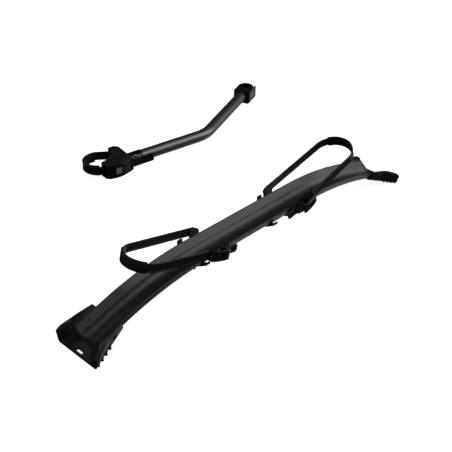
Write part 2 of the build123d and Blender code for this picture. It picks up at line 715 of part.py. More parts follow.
cover_low = cover_z + 0.1
panel_drop = 0.7
with BuildPart() as head_cover:
    extrude(head_plan(cover_low), amount=head_height - cover_low)
    extrude(head_plan(head_height - panel_drop, shrink=2.6), amount=2, mode=Mode.SUBTRACT)
    for p in screw_spots:
        bore(arm_post(*p, cover_z - 1), head_screw_radius + 0.1, 10)
    bore(arm_post(*anchor, cover_z - 1), anchor_pin_radius + 0.02, 2.2)
    bore(arm_post(*head_lever_axis, cover_z - 1), head_pin_radius + 0.02, 2.2)
write(head_cover, "head_cover")

with BuildPart() as head_screws:
    for p in screw_spots:
        seat = head_height - panel_drop + 0.05
        extrude(disc(arm_post(*p, seat), head_screw_radius), amount=-26)
        extrude(disc(arm_post(*p, seat), 3.6), amount=1.4)
        bore(arm_post(*p, seat + 0.4), 1.4, 2)
write(head_screws, "head_screws")

with BuildPart() as cradle_pad:
    with BuildSketch(arm_level(5)):
        with Locations(bite_centre):
            Circle(bite_radius - 0.1)
            Circle(bite_radius - pad_thick, mode=Mode.SUBTRACT)
        Polygon(bite_centre, (-60, 47), (-66, 5), (-118, -14), align=None, mode=Mode.INTERSECT)
    extrude(amount=38)
write(cradle_pad, "cradle_pad")

with BuildPart() as strap_anchor_pin:
    extrude(disc(arm_post(*anchor, 0.6), anchor_pin_radius), amount=46)
write(strap_anchor_pin, "strap_anchor_pin")

with BuildPart() as head_lever_pin:
    extrude(disc(arm_post(*head_lever_axis, 0.6), head_pin_radius), amount=46)
write(head_lever_pin, "head_lever_pin")

inner_gap = band_thick / 2 + 0.9
plate_u = (-103.0, -82.0)    # the square plate on the lever's outer face
plate_z = 24.5
plate_face = -45.2
with BuildPart() as head_lever:
    lever_low = floor_top + move_gap
    extrude(disc(arm_post(*head_lever_axis, lever_low), head_hub), amount=cover_z - move_gap - lever_low)
    blade = patch(arm_level(lever_low), (-119.7, band_v(-119.7, -inner_gap) - 0.3), (-121, -38.1), (-104, -42.6),
                  (-76, -42.6), (-68, -40.4), (-42, -32.6), (-34, -32.4), (-32, -31), (-32, -29.8),
                  (tail_start, tail_v - inner_gap))
    extrude(blade, amount=cover_z - move_gap - lever_low)
    frame = patch(arm_level(plate_z - 12), (-104.5, -40), (-104.5, plate_face),
                  (-80.5, plate_face), (-80.5, -40))
    extrude(frame, amount=24)
    recess = patch(arm_level(plate_z - 10.5), (plate_u[0], -50), (plate_u[1], -50),
                   (plate_u[1], plate_face + 1.4), (plate_u[0], plate_face + 1.4))
    extrude(recess, amount=21, mode=Mode.SUBTRACT)
    pawl_bay = patch(arm_level(14), (-112, -15), (-112, -26), (-103, -38.5), (-92, -38.5),
                     (-88, -33), (-88, -15))
    extrude(pawl_bay, amount=21, mode=Mode.SUBTRACT)
    bore(arm_post(*head_lever_axis), head_pin_radius + 0.06, 60)
    bore(arm_post(*head_pawl_axis, 8), head_pawl_pin_radius + 0.02, 33)
write(head_lever, "head_lever")

with BuildPart() as lever_plate:
    plate_low, plate_high = plate_u[0] + 0.1, plate_u[1] - 0.1
    plate = patch(arm_level(plate_z - 10.4), (plate_low, plate_face - 0.3), (plate_high, plate_face - 0.3),
                  (plate_high, plate_face + 1.3), (plate_low, plate_face + 1.3))
    extrude(plate, amount=20.8)
    fillet(lever_plate.edges().filter_by(Axis.Z), 0.3)
write(lever_plate, "lever_plate")

with BuildPart() as head_pawl_pin:
    extrude(disc(arm_post(*head_pawl_axis, 8.1), head_pawl_pin_radius), amount=32.8)
write(head_pawl_pin, "head_pawl_pin")

with BuildPart() as head_pawl:
    centre = head_pawl_axis
    tip = band_v(centre[0] - 5, -band_thick / 2 - 0.6)
    extrude(disc(arm_post(*centre, 14.4), 3.6), amount=20.2)
    finger = patch(arm_level(14.4), (centre[0] - 3.6, centre[1]),
                   (centre[0] - 7.5, tip - 3.0), (centre[0] - 6, tip),
                   (centre[0] - 3.5, tip), (centre[0] + 3.6, centre[1]))
    extrude(finger, amount=20.2)
    extrude(disc(arm_post(*centre, 22.0), 8.0), amount=5.0, mode=Mode.SUBTRACT)
    bore(arm_post(*centre), head_pawl_pin_radius + 0.06, 60)
    bridge = patch(arm_level(21.5), (centre[0] - 7.5, tip - 3.0), (centre[0] - 6, tip),
                   (centre[0] - 3.5, tip), (centre[0] - 3.2, tip - 3.4))
    extrude(bridge, amount=6)
write(head_pawl, "head_pawl")

with BuildPart() as head_pawl_spring:
    extrude(disc(arm_post(*head_pawl_axis, 22.4), 3.4, head_pawl_pin_radius + 0.2), amount=4.2)
write(head_pawl_spring, "head_pawl_spring")

# ---------------------------------------------------------------- clamp
liner_wall = 1.5
split_gap = 0.4              # each side of the line between body and jaw
clamp_hinge = (0.0, 24.4)
hinge_pin_radius = 2.0
knuckle = 3.9
knuckle_low = 15.0
knuckle_high = 32.0
clamp_lever_axis = (-40.0, -29.6)
clamp_lever_knuckle = 3.6


with BuildPart() as clamp_body:
    with BuildSketch(clamp_level(0)):
        Polygon((-clamp_back, -clamp_radius), (-split_gap, -clamp_radius), (-split_gap, clamp_radius),
                (-clamp_back, clamp_radius), align=None)
    extrude(amount=clamp_height)
    chamfer(clamp_body.faces().sort_by(Axis.Z)[-1].edges(), 1.2)
    for low, high in ((0, knuckle_low), (knuckle_high, clamp_height)):
        extrude(disc(clamp_post(*clamp_hinge, low), knuckle), amount=high - low)
    extrude(disc(clamp_post(*clamp_hinge, knuckle_low), knuckle + move_gap + 0.1),
            amount=knuckle_high - knuckle_low, mode=Mode.SUBTRACT)
    for low in (4, 36):
        extrude(disc(clamp_post(*clamp_lever_axis, low), clamp_lever_knuckle), amount=8)
    extrude(disc(clamp_post(*clamp_lever_axis, 12), clamp_lever_knuckle + 0.5), amount=24, mode=Mode.SUBTRACT)
    extrude(disc(clamp_level(-1), bore_radius + liner_wall), amount=60, mode=Mode.SUBTRACT)
    bore(clamp_across(-clamp_back - 1), tube_radius + 0.1, clamp_back + 1 - tube_stop + 0.5)
    bore(clamp_post(*clamp_hinge, -1), hinge_pin_radius + 0.02, 60)
    bore(clamp_post(*clamp_lever_axis, -1), hinge_pin_radius + 0.02, 60)
    for z in (8, 40):
        bore(clamp_across(-clamp_back - 1, 22, z), 1.8, 16)
write(clamp_body, "clamp_body")

with BuildPart() as clamp_jaw:
    with BuildSketch(clamp_level(0)) as jaw_plan:
        Circle(clamp_radius)
        Polygon((split_gap, -40), (40, -40), (40, 40), (split_gap, 40), align=None, mode=Mode.INTERSECT)
    extrude(amount=clamp_height)
    chamfer(clamp_jaw.faces().sort_by(Axis.Z)[-1].edges(), 1.2)
    extrude(disc(clamp_post(*clamp_hinge, -1), knuckle + move_gap + 0.1), amount=60, mode=Mode.SUBTRACT)
    low = knuckle_low + move_gap
    high = knuckle_high - move_gap
    extrude(disc(clamp_post(*clamp_hinge, low), knuckle), amount=high - low)
    web = patch(clamp_level(low), (0.4, 21.6), (6, 20.8), (6, 27.2), (0.4, 28))
    extrude(web, amount=high - low)
    catch = patch(clamp_level(6), (7, -24), (7, -27.8), (13.4, -27.8), (13.4, -23))
    extrude(catch, amount=clamp_height - 12)
    extrude(disc(clamp_level(-1), bore_radius + liner_wall), amount=60, mode=Mode.SUBTRACT)
    bore(clamp_post(*clamp_hinge, -1), hinge_pin_radius + 0.06, 60)
write(clamp_jaw, "clamp_jaw")

for s, name in ((-1, "clamp_liner_body"), (1, "clamp_liner_jaw")):
    with BuildPart() as liner:
        with BuildSketch(clamp_level(0)):
            Circle(bore_radius + liner_wall - 0.05)
            Circle(bore_radius, mode=Mode.SUBTRACT)
            Polygon((s * 0.8, -18.5), (s * 40, -18.5), (s * 40, 18.5), (s * 0.8, 18.5), align=None,
                    mode=Mode.INTERSECT)
        extrude(amount=clamp_height)
    write(liner, name)

with BuildPart() as clamp_hinge_pin:
    extrude(disc(clamp_post(*clamp_hinge, 0.8), hinge_pin_radius), amount=clamp_height - 1.6)
write(clamp_hinge_pin, "clamp_hinge_pin")

with BuildPart() as clamp_lever_pin:
    extrude(disc(clamp_post(*clamp_lever_axis, 3.6), hinge_pin_radius), amount=40.8)
write(clamp_lever_pin, "clamp_lever_pin")

plate_out = -32.4
plate_in = -28.4
with BuildPart() as clamp_lever:
    blade = patch(clamp_level(4), (-35.4, plate_in), (-35.4, plate_out), (20, plate_out), (20, plate_in + 3),
                  (18.6, plate_in + 3.6), (15.4, plate_in + 3.6), (15.4, plate_in))
    extrude(blade, amount=40)
    fillet(clamp_lever.edges().filter_by(Axis.Z).sort_by(lambda e: e.center().Y)[:1], 2.0)
    extrude(disc(clamp_post(*clamp_lever_axis, 12.4), clamp_lever_knuckle), amount=23.2)
    web = patch(clamp_level(12.4), (-40, -28.6), (-40, -33.2), (-35, plate_out), (-35, plate_in))
    extrude(web, amount=23.2)
    groove = patch(clamp_level(9), (-28, -40), (10, -40), (10, plate_out + 0.8), (-28, plate_out + 0.8))
    extrude(groove, amount=30, mode=Mode.SUBTRACT)
    bore(clamp_post(*clamp_lever_axis), hinge_pin_radius + 0.06, 60)
write(clamp_lever, "clamp_lever")

with BuildPart() as clamp_screws:
    for z in (8, 40):
        extrude(disc(clamp_across(-clamp_back + 14, 22, z), 1.78), amount=-14)
        extrude(disc(clamp_across(-clamp_back, 22, z), 3.4), amount=-1.6)
        bore(clamp_across(-clamp_back - 2, 22, z), 1.3, 1.5)
write(clamp_screws, "clamp_screws")
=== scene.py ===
import json
import math

import bmesh
import bpy
from mathutils import Matrix, Vector


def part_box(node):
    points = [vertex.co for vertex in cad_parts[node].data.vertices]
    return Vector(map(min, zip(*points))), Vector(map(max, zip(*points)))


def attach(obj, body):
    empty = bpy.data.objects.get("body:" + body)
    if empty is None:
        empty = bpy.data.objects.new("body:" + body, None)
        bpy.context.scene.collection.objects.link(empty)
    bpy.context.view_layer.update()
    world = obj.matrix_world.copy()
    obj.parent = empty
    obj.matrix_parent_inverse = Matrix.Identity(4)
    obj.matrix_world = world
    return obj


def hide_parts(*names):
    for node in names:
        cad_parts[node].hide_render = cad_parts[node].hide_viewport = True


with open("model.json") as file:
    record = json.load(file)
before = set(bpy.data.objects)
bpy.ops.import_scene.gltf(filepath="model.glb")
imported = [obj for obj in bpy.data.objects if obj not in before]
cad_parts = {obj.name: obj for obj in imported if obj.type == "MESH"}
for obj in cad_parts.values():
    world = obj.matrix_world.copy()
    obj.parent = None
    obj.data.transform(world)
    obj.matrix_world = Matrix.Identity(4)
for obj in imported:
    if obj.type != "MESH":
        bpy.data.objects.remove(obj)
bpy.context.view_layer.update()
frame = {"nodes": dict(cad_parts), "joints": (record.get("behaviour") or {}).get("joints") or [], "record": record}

# A wheel tray with two ratchet wheel straps, and a bent arm with a strap head and a ring clamp.
# The hard pieces are the CAD nodes. The straps, the linings and the springs are meshes made here, in
# millimetres, in the strap's, the arm's and the clamp's own coordinates, which follow the frame's joints.
MM = 0.001
joints = {j["name"]: j for j in frame["joints"]}
mounts = {m["name"]: m for m in frame["record"]["mounts"]}
scene = bpy.context.scene
nodes = frame["nodes"]


# ---------------------------------------------------------------- frames, in millimetres
def span(node):
    low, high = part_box(node)
    return low / MM, high / MM


tray_low, tray_high = span("tray_profile")
TRAY = (tray_low + tray_high) / 2            # the tray's middle, on the floor
TRAY.z = 0
LEAN = math.radians(15)                      # rise of the wheel straps, outwards
ARM_TURN = math.radians(-10)                 # of the arm's first run, from the x axis
ARM_BEND = math.radians(31.4)                # of its second run, from the first
HEAD_PIVOT = Vector((-118.5, -29.0, 0))      # the head lever's pin, in the arm's own plan


def strap_frame(side):
    """Strap coordinates (outwards, across the tray, across the strap) to the row frame. Right is +1."""
    pivot = Vector(joints["strap_swing_" + ("right" if side > 0 else "left")]["pos_m"]) / MM
    out = Vector((side * math.cos(LEAN), 0, math.sin(LEAN)))
    up = Vector((-side * math.sin(LEAN), 0, math.cos(LEAN)))
    m = Matrix((out, (0, 1, 0), up)).transposed().to_4x4()
    m.translation = pivot
    return m


def arm_frame():
    """The arm's plan coordinates (along its first run, across, up) to the row frame."""
    m = Matrix.Rotation(ARM_TURN, 4, "Z")
    pin = Vector(joints["head_lever"]["pos_m"]) / MM
    pin.z = 0
    m.translation = pin - m.to_3x3() @ HEAD_PIVOT
    return m


def clamp_frame():
    """The clamp's plan coordinates, from the middle of its ring, to the row frame."""
    m = Matrix.Rotation(ARM_TURN + ARM_BEND, 4, "Z")
    centre = Vector(mounts["clamp_bore"]["pos_m"]) / MM
    centre.z = 0
    m.translation = centre
    return m


def pin_at(place, joint):
    """Where a joint's pin stands in the plan of a local frame."""
    spot = place.inverted() @ (Vector(joints[joint]["pos_m"]) / MM)
    return spot.x, spot.y


# ---------------------------------------------------------------- camera
CAM_FROM_TRAY = Vector((-1540.29, -1409.65, 1498.60))
CAM_AIM = Vector((-89.5, 0.0, 133.2))        # from the tray's middle too
CAM_ROLL = math.radians(0.471)
CAM_LENS = 73.13
cam_data = bpy.data.cameras.new("camera")
cam_data.sensor_width = 36.0
cam_data.lens = CAM_LENS
cam_data.clip_start = 0.05
cam_data.clip_end = 300.0
camera = bpy.data.objects.new("camera", cam_data)
scene.collection.objects.link(camera)
camera.location = (TRAY + CAM_FROM_TRAY) * MM
look = (CAM_AIM - CAM_FROM_TRAY).normalized()
right = look.cross(Vector((0, 0, 1))).normalized()
up = right.cross(look)
right_rolled = right * math.cos(CAM_ROLL) + up * math.sin(CAM_ROLL)
up_rolled = up * math.cos(CAM_ROLL) - right * math.sin(CAM_ROLL)
camera.rotation_mode = "QUATERNION"
camera.rotation_quaternion = Matrix((right_rolled, up_rolled, -look)).transposed().to_quaternion()
scene.camera = camera


# ---------------------------------------------------------------- materials
CLOUD = 35.0                                 # scale of the slow clouds in colour and roughness
SCUFF = 0.3                                  # strength of the scuffs
SCUFF_STRETCH = (0.35, 1.6, 1.0)
SCUFF_ROUGH = 0.35                           # roughness that a full scuff would add
BUMP_HEIGHT = 0.2 * MM
MIX_A, MIX_B, MIX_RESULT = 6, 7, 2           # a Mix node's colour sockets


def shader(name, base, rough, metallic=0.0):
    """A material, its node tree and its Principled node."""
    mat = bpy.data.materials.new(name)
    mat.use_nodes = True
    tree = mat.node_tree
    bsdf = tree.nodes["Principled BSDF"]
    bsdf.inputs["Base Color"].default_value = (*base, 1)
    bsdf.inputs["Roughness"].default_value = rough
    bsdf.inputs["Metallic"].default_value = metallic
    return mat, tree, bsdf


def add(tree, kind, **values):
    """A new node, with values for its inputs or its settings."""
    node = tree.nodes.new(kind)
    for key, value in values.items():
        if key in node.inputs:
            node.inputs[key].default_value = value
        else:
            setattr(node, key, value)
    return node


def noise(tree, vector, **values):
    """A noise texture read at that vector."""
    node = add(tree, "ShaderNodeTexNoise", **values)
    tree.links.new(vector, node.inputs["Vector"])
    return node.outputs["Fac"]


def ramp(tree, source, low, high, colour_low, colour_high):
    """The source turned into colour, between two of its values."""
    node = tree.nodes.new("ShaderNodeValToRGB")
    node.color_ramp.elements[0].position = low
    node.color_ramp.elements[1].position = high
    node.color_ramp.elements[0].color = (*colour_low, 1)
    node.color_ramp.elements[1].color = (*colour_high, 1)
    tree.links.new(source, node.inputs["Fac"])
    return node.outputs["Color"]


def scuffs(tree, vector):
    """Stretched noise that is black except in faint marks."""
    drawn = add(tree, "ShaderNodeMapping", Scale=SCUFF_STRETCH)
    tree.links.new(vector, drawn.inputs["Vector"])
    marks = noise(tree, drawn.outputs["Vector"], Scale=140.0, Detail=6.0, Roughness=0.75, Distortion=1.5)
    return ramp(tree, marks, 0.60, 0.74, (0, 0, 0), (SCUFF, SCUFF, SCUFF))


def scuffed_colour(tree, mask, colour, light):
    """The colour, paler where it is scuffed."""
    worn = add(tree, "ShaderNodeMix", data_type="RGBA", blend_type="MIX")
    tree.links.new(mask, worn.inputs["Factor"])
    tree.links.new(colour, worn.inputs[MIX_A])
    worn.inputs[MIX_B].default_value = (*[min(1.0, 2.2 * v + 0.03) for v in light], 1)
    return worn.outputs[MIX_RESULT]


def scuffed_roughness(tree, mask, clouds, rough):
    """Roughness that follows the clouds between two values, and is higher where it is scuffed."""
    spread = add(tree, "ShaderNodeMapRange")
    spread.inputs["To Min"].default_value, spread.inputs["To Max"].default_value = rough
    tree.links.new(clouds, spread.inputs["Value"])
    rougher = add(tree, "ShaderNodeMath", operation="MULTIPLY_ADD")
    rougher.inputs[1].default_value = SCUFF_ROUGH
    tree.links.new(mask, rougher.inputs[0])
    tree.links.new(spread.outputs["Result"], rougher.inputs[2])
    return rougher.outputs["Value"]


def grey(v):
    """A grey with a trace of blue."""
    return (v, v, v * 1.03)


def grained(name, tones, rough, grain, depth, metallic=0.0, specular=0.5, ior=1.5):
    """A moulded or coated surface: fine grain in the bump, slow clouds and scuffs in colour and roughness.

    Tones and rough are pairs: the clouds' dark and light grey, and the lowest and highest roughness.
    """
    dark, light = map(grey, tones)
    mat, tree, bsdf = shader(name, light, rough[1], metallic)
    bsdf.inputs["Specular IOR Level"].default_value = specular
    bsdf.inputs["IOR"].default_value = ior
    place = add(tree, "ShaderNodeTexCoord").outputs["Object"]
    clouds = noise(tree, place, Scale=CLOUD, Detail=4.0, Roughness=0.6)
    mask = scuffs(tree, place)
    colour = scuffed_colour(tree, mask, ramp(tree, clouds, 0.35, 0.68, dark, light), light)
    tree.links.new(colour, bsdf.inputs["Base Color"])
    tree.links.new(scuffed_roughness(tree, mask, clouds, rough), bsdf.inputs["Roughness"])
    bump = add(tree, "ShaderNodeBump", Strength=depth, Distance=BUMP_HEIGHT)
    tree.links.new(noise(tree, place, Scale=grain, Detail=3.0, Roughness=0.55), bump.inputs["Height"])
    tree.links.new(bump.outputs["Normal"], bsdf.inputs["Normal"])
    return mat


TRAY_COAT = grained("tray_coat", (0.010, 0.014), (0.40, 0.48), 900, 0.25, specular=0.42)
TUBE_COAT = grained("tube_coat", (0.010, 0.014), (0.38, 0.46), 1100, 0.2, specular=0.8, ior=1.75)
BRACKET_COAT = grained("bracket_coat", (0.010, 0.016), (0.4, 0.55), 900, 0.3, specular=0.35)
CAP_PLASTIC = grained("cap_plastic", (0.004, 0.008), (0.36, 0.46), 1500, 0.35, specular=0.2)
BUCKLE_PLASTIC = grained("buckle_plastic", (0.003, 0.006), (0.22, 0.30), 1400, 0.3, specular=0.45)
PAWL_PLASTIC = grained("pawl_plastic", (0.008, 0.014), (0.35, 0.5), 1400, 0.3, specular=0.35)
HEAD_PLASTIC = grained("head_plastic", (0.002, 0.004), (0.20, 0.28), 1300, 0.25, specular=0.4)
COVER_PLASTIC = grained("cover_plastic", (0.006, 0.010), (0.34, 0.42), 1300, 0.35, specular=0.6)
BAND_PLASTIC = grained("band_plastic", (0.003, 0.006), (0.24, 0.34), 1200, 0.25, specular=0.6)
CLAMP_PLASTIC = grained("clamp_plastic", (0.004, 0.007), (0.24, 0.32), 1300, 0.25, specular=0.7)
STRAP_PLASTIC = grained("strap_plastic", (0.005, 0.009), (0.32, 0.44), 1200, 0.3, specular=0.5)
RUBBER = grained("soft_rubber", (0.005, 0.009), (0.55, 0.75), 1700, 0.5, specular=0.3)
ZINC = grained("zinc", (0.42, 0.52), (0.28, 0.42), 700, 0.2, metallic=1.0)
BLACK_STEEL = grained("black_steel", (0.02, 0.03), (0.3, 0.45), 800, 0.2, metallic=0.6)
BRIGHT_STEEL = grained("bright_steel", (0.5, 0.62), (0.22, 0.35), 700, 0.15, metallic=1.0)
SPRING_WIRE = grained("spring_wire", (0.4, 0.5), (0.25, 0.35), 600, 0.15, metallic=1.0)
PLATE_GREY = grained("plate_grey", (0.13, 0.17), (0.35, 0.5), 1500, 0.25)


# ---------------------------------------------------------------- CAD nodes that are shown as they are
HARD_EDGE = math.radians(28)
FLAT = math.radians(1.0)
WELD_DISTANCE = 0.01 * MM


def soften(obj, edge, segments):
    """Round an object's hard edges, by that width in millimetres."""
    bevel = obj.modifiers.new("edge", "BEVEL")
    bevel.width = edge * MM
    bevel.segments = segments
    bevel.limit_method = "ANGLE"
    bevel.angle_limit = HARD_EDGE
    bevel.use_clamp_overlap = True
    bevel.harden_normals = True
    bevel.miter_outer = "MITER_ARC"


def dress(name, material, edge=0.0, segments=2):
    """Give a CAD node its material, and round its hard edges."""
    obj = nodes[name]
    obj.data.materials.clear()
    obj.data.materials.append(material)
    if edge:
        weld = obj.modifiers.new("weld", "WELD")
        weld.merge_threshold = WELD_DISTANCE
        flat = obj.modifiers.new("flat", "DECIMATE")
        flat.decimate_type = "DISSOLVE"
        flat.angle_limit = FLAT
        soften(obj, edge, segments)


SIDES = (("right", 1), ("left", -1))
dress("tray_profile", TRAY_COAT)
dress("cap_screws", BLACK_STEEL)
dress("carrier_studs", ZINC)
dress("saddle_screws", BLACK_STEEL)
for name in ("carrier_bracket_left", "carrier_bracket_right"):
    dress(name, BRACKET_COAT, 0.7)
for side, sign in SIDES:
    dress("end_cap_" + side, CAP_PLASTIC, 1.0)
    dress("strap_saddle_" + side, BRACKET_COAT, 0.7)
    dress("pivot_rivets_" + side, BLACK_STEEL)
    dress("buckle_base_" + side, BUCKLE_PLASTIC, 0.8)
    dress("buckle_lever_" + side, BUCKLE_PLASTIC, 1.0)
    dress("drive_pawl_" + side, PAWL_PLASTIC, 0.3)
    dress("hold_pawl_" + side, PAWL_PLASTIC, 0.3)
    dress("buckle_lever_pin_" + side, BRIGHT_STEEL)
    dress("hold_pawl_pin_" + side, BRIGHT_STEEL)
    dress("drive_pawl_pin_" + side, BRIGHT_STEEL)
dress("arm_tube", TUBE_COAT)
for name in ("neck_ferrule", "head_base", "head_lever"):
    dress(name, HEAD_PLASTIC, 1.1)
dress("head_cover", COVER_PLASTIC, 1.4, 3)
for name in ("clamp_body", "clamp_jaw", "clamp_lever"):
    dress(name, CLAMP_PLASTIC, 0.8)
for name in ("head_screws", "strap_anchor_pin", "head_lever_pin", "clamp_hinge_pin", "clamp_lever_pin"):
    dress(name, BLACK_STEEL)
for name in ("head_pawl_pin", "clamp_screws"):
    dress(name, BRIGHT_STEEL)
dress("head_pawl", PAWL_PLASTIC)
dress("lever_plate", PLATE_GREY)

# ---------------------------------------------------------------- mesh helpers
body_of = {}
for body, members in frame["record"]["behaviour"]["bodies"].items():
    for member in members:
        body_of[member] = body
SHARP = math.radians(32)


def piece(name, frame_matrix, verts, faces, material, node):
    """A mesh in a local millimetre frame, standing for a CAD node and riding on its body."""
    mesh = bpy.data.meshes.new(name)
    mesh.from_pydata([(frame_matrix @ Vector(v)) * MM for v in verts], [], faces)
    bm = bmesh.new()
    bm.from_mesh(mesh)
    bmesh.ops.recalc_face_normals(bm, faces=bm.faces)
    bm.to_mesh(mesh)
    bm.free()
    mesh.polygons.foreach_set("use_smooth", [True] * len(mesh.polygons))
    mesh.set_sharp_from_angle(angle=SHARP)
    mesh.materials.append(material)
    obj = bpy.data.objects.new(name, mesh)
    scene.collection.objects.link(obj)
    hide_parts(node)
    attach(obj, body_of[node])
    return obj


def polar(centre, radius, degrees):
    """The plan point at that angle on a circle."""
    angle = math.radians(degrees)
    return centre[0] + radius * math.cos(angle), centre[1] + radius * math.sin(angle)


def line_to(path, end, step):
    """Carry a plan path on in a straight line, in equal steps."""
    start = path[-1]
    count = max(1, round(math.dist(start, end) / step))
    for i in range(1, count + 1):
        path.append((start[0] + (end[0] - start[0]) * i / count, start[1] + (end[1] - start[1]) * i / count))


def arc_to(path, centre, radius, start, end, step):
    """Carry a plan path on round an arc, between two angles in degrees."""
    count = max(2, round(abs(math.radians(end - start)) * radius / step))
    for i in range(count + 1):
        point = polar(centre, radius, start + (end - start) * i / count)
        if not path or math.dist(path[-1], point) > 0.01:
            path.append(point)


def traced(path):
    """Each point of a plan path, its unit normal to the right of the way, and its distance along."""
    out, run = [], 0.0
    for i, p in enumerate(path):
        before, after = path[max(i - 1, 0)], path[min(i + 1, len(path) - 1)]
        length = math.dist(before, after)
        tangent = ((after[0] - before[0]) / length, (after[1] - before[1]) / length)
        if i:
            run += math.dist(path[i - 1], p)
        out.append((p, (tangent[1], -tangent[0]), run))
    return out


def skin(rings, count):
    """Faces that join that many rings of as many points in turn, with both ends closed."""
    faces = []
    for i in range(rings - 1):
        for j in range(count):
            k = (j + 1) % count
            faces.append((i * count + j, i * count + k, (i + 1) * count + k, (i + 1) * count + j))
    faces.append(tuple(range(count)))
    faces.append(tuple((rings - 1) * count + j for j in range(count)))
    return faces


def swept(path, section, middle=0.0):
    """A closed section of (off the path, across) points carried along a plan path, its ends closed."""
    verts = []
    line = traced(path)
    for p, n, run in line:
        ring = section(run, line[-1][2])
        verts += [(p[0] + n[0] * k, p[1] + n[1] * k, middle + w) for k, w in ring]
    return verts, skin(len(line), len(ring))


def merge(target, extra):
    """Add one set of vertices and faces to another."""
    base = len(target[0])
    target[0].extend(extra[0])
    target[1].extend([tuple(i + base for i in f) for f in extra[1]])


def at_run(line, run):
    """The point and the normal that far along a traced path."""
    for (p, n, a), (q, m, b) in zip(line, line[1:]):
        if a <= run <= b:
            t = (run - a) / (b - a)
            return ((p[0] + (q[0] - p[0]) * t, p[1] + (q[1] - p[1]) * t),
                    (n[0] + (m[0] - n[0]) * t, n[1] + (m[1] - n[1]) * t))
    return line[-1][:2]


def rung(line, profile, half, middle=0.0):
    """A bar across a strap. The profile is a list of (distance along, off the path)."""
    verts = []
    for run, k in profile:
        p, n = at_run(line, run)
        verts += [(p[0] + n[0] * k, p[1] + n[1] * k, middle - half),
                  (p[0] + n[0] * k, p[1] + n[1] * k, middle + half)]
    count = len(profile)
    faces = [(2 * i, 2 * i + 1, 2 * ((i + 1) % count) + 1, 2 * ((i + 1) % count)) for i in range(count)]
    faces.append(tuple(2 * i for i in range(count)))
    faces.append(tuple(2 * i + 1 for i in range(count)))
    return verts, faces


WIRE_SIDES = 10
WIRE_UP = Vector((0.31, 0.43, 0.85))         # any direction that no spring starts along


def tube(points, radius):
    """A round wire through space points, its ends closed."""
    verts = []
    points = [Vector(p) for p in points]
    normal = WIRE_UP
    for i, p in enumerate(points):
        tangent = (points[min(i + 1, len(points) - 1)] - points[max(i - 1, 0)]).normalized()
        normal = (normal - tangent * normal.dot(tangent)).normalized()
        other = tangent.cross(normal)
        for j in range(WIRE_SIDES):
            a = 2 * math.pi * j / WIRE_SIDES
            verts.append(tuple(p + (normal * math.cos(a) + other * math.sin(a)) * radius))
    return verts, skin(len(points), WIRE_SIDES)


SPRING_TURNS = 3.5
SPRING_START = 0.6                           # angle of the first leg, in radians
SPRING_STEPS = 20                            # points in a turn
SPRING_LEG = (1.2, 2.4, 3.6)                 # points of a straight leg, by distance from the helix


def coil(centre, low, high, radius, wire):
    """A torsion spring round a pin: a close helix with a straight leg at each end."""
    points = []
    steps = int(SPRING_TURNS * SPRING_STEPS)
    for i in range(steps + 1):
        angle = SPRING_START + 2 * math.pi * SPRING_TURNS * i / steps
        z = low + wire + (high - low - 2 * wire) * i / steps
        points.append((centre[0] + radius * math.cos(angle), centre[1] + radius * math.sin(angle), z))
    for end, sign in ((0, -1), (-1, 1)):
        x, y, z = points[end]
        angle = math.atan2(y - centre[1], x - centre[0])
        leg = [(x - sign * math.sin(angle) * d, y + sign * math.cos(angle) * d, z) for d in SPRING_LEG]
        points = leg[::-1] + points if end == 0 else points + leg
    return tube(points, wire)


def rounded_end(run, total, half, start_radius, end_radius):
    """Half-width of a strap near its rounded ends."""
    for distance, radius in ((run, start_radius), (total - run, end_radius)):
        if radius and distance < radius:
            return half - radius + math.sqrt(max(0.01, radius ** 2 - (radius - distance) ** 2))
    return half


def rounded_box(half_thick, half_width, corner):
    """An outline with cut corners: its outer half, then the same half turned round."""
    cut = corner * 0.3
    outer = [(half_thick - corner, -half_width), (half_thick - cut, cut - half_width),
             (half_thick, corner - half_width), (half_thick, half_width - corner),
             (half_thick - cut, half_width - cut), (half_thick - corner, half_width)]
    return outer + [(-k, -w) for k, w in outer]


def flat_section(half_thick, half_width):
    """A plain flat section, the same all along."""
    corners = [(-half_thick, -half_width), (half_thick, -half_width),
               (half_thick, half_width), (-half_thick, half_width)]
    return lambda run, total: corners


def ribbed(thick, half, depth, pitch, corner=0.6):
    """Section of a rubber lining: smooth on its seat, with rounded ribs on the side that grips."""
    def section(run, total):
        lift = depth * (0.5 + 0.5 * math.cos(2 * math.pi * run / pitch))
        near = thick / 2
        far = near + (lift if min(run, total - run) > 1 else 0)
        return [(near, -half), (near, half), (corner - far, half),
                (-far, half - corner), (-far, corner - half), (corner - far, -half)]
    return section


def lining(name, place, arc, section, middle, node, step=0.5):
    """A rubber piece on an arc, given by its centre, radius, start and end."""
    path = []
    arc_to(path, *arc, step)
    piece(name, place, *swept(path, section, middle), RUBBER, node)


# ---------------------------------------------------------------- wheel straps
STRAP_HALF = 12.5            # half the width
STRAP_THICK = 1.5            # half the thickness
STRAP_EDGE = 0.45            # cut of its edges
RAIL = 3.4                   # width of the smooth rail along each edge
RAIL_SLOPE = 0.4
WEB_OUT = 0.5                # faces of the web between the rails, from the middle of the thickness
WEB_IN = 1.0
TAIL_X = -46.0               # free end
TAIL_ROUND = 9.0
KNEE_X = 66.0                # where the buckle's side of the loop begins to draw in
PIVOT_Y = 62.0
LOOP_X = 225.0               # centre of the loop's round end
LOOP_R = 58.0
EYE_JOIN = 11.0              # from the pivot to where the flat eye begins
EYE_HOLE = 4.06
EYE_SIDES = 40
EYE_RIM = 4.4                # width of the raised rim round the hole
EYE_CUT = 0.5                # cut of the rim's and the outer edge's corners
EYE_DISH = 0.7               # depth of the dished part
RUNG_PITCH = 5.0
RUNG_PAST = 10.0             # how far the rungs go on into the loop
RUNG_FOOT = WEB_OUT - 0.3
RUNG_TOP = STRAP_THICK - 0.05
